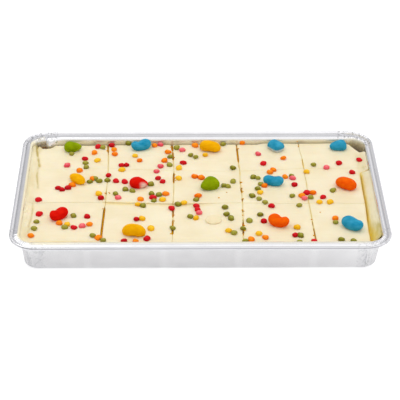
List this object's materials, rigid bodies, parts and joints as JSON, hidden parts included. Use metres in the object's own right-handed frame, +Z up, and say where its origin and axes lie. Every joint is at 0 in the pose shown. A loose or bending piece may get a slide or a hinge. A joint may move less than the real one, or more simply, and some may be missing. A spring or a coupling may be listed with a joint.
{
  "type": "vanilla tray cake",
  "caption": "Iced vanilla sheet cake in its foil tray, cut into square portions, each topped with a jelly bean and scattered round sugar sprinkles.",
  "frame": {"origin": "middle of the tray's underside, on the surface that it stands on", "axes": "+X along the tray's long side to the right in the picture, +Y towards the back, +Z up"},
  "size_m": [0.3552, 0.2132, 0.0407],
  "materials": {
    "foil": "bright crinkled aluminium foil",
    "sponge": "open golden vanilla crumb",
    "icing": "smooth pale cream icing with a soft sheen",
    "bean_red": "glossy sugar shell",
    "bean_orange": "glossy sugar shell",
    "bean_yellow": "glossy sugar shell",
    "bean_green": "glossy sugar shell",
    "bean_blue": "glossy sugar shell",
    "bean_cream": "glossy sugar shell"
  },
  "bodies": {
    "root": {"tray": "foil", "sponge_1_1": "sponge", "icing_1_1": "icing", "bean_1_1": "bean_red", "sponge_1_2": "sponge", "icing_1_2": "icing", "bean_1_2": "bean_yellow", "sponge_1_3": "sponge", "icing_1_3": "icing", "bean_1_3": "bean_cream", "sponge_1_4": "sponge", "icing_1_4": "icing", "bean_1_4": "bean_orange", "sponge_1_5": "sponge", "icing_1_5": "icing", "bean_1_5": "bean_blue", "sponge_2_1": "sponge", "icing_2_1": "icing", "bean_2_1": "bean_yellow", "sponge_2_2": "sponge", "icing_2_2": "icing", "bean_2_2": "bean_red", "sponge_2_3": "sponge", "icing_2_3": "icing", "bean_2_3": "bean_green", "sponge_2_4": "sponge", "icing_2_4": "icing", "bean_2_4": "bean_blue", "sponge_2_5": "sponge", "icing_2_5": "icing", "bean_2_5": "bean_orange", "sponge_3_1": "sponge", "icing_3_1": "icing", "bean_3_1": "bean_green", "sponge_3_2": "sponge", "icing_3_2": "icing", "bean_3_2": "bean_blue", "sponge_3_3": "sponge", "icing_3_3": "icing", "bean_3_3": "bean_yellow", "sponge_3_4": "sponge", "icing_3_4": "icing", "bean_3_4": "bean_blue", "sponge_3_5": "sponge", "icing_3_5": "icing", "bean_3_5": "bean_blue"}
  },
  "joints": []
}
